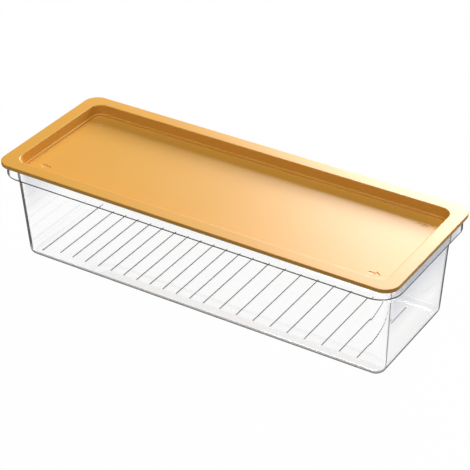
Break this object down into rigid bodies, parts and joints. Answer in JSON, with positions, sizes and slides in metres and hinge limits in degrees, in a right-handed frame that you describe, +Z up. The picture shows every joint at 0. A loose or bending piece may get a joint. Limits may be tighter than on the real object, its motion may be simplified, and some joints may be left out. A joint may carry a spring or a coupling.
{
  "type": "food storage box",
  "caption": "Long, low clear food storage box with a ribbed floor and an opaque recessed lid that lifts straight off and lets boxes stack.",
  "frame": {"origin": "Middle of the flat underside of the container, on the surface the box stands on.", "axes": "+X along the length towards the half with the wider rib spacing, +Y towards the back, +Z up through the lid."},
  "size_m": [0.34, 0.1284, 0.0865],
  "materials": {
    "clear_plastic": "gloss",
    "orange_plastic": "satin"
  },
  "bodies": {
    "container": {"container": "clear_plastic"},
    "lid": {"lid": "orange_plastic"}
  },
  "joints": [
    {"name": "lid_lift", "type": "slide", "parent": "container", "child": "lid", "axis": [0, 0, 1], "range_m": [0, 0.15]}
  ]
}
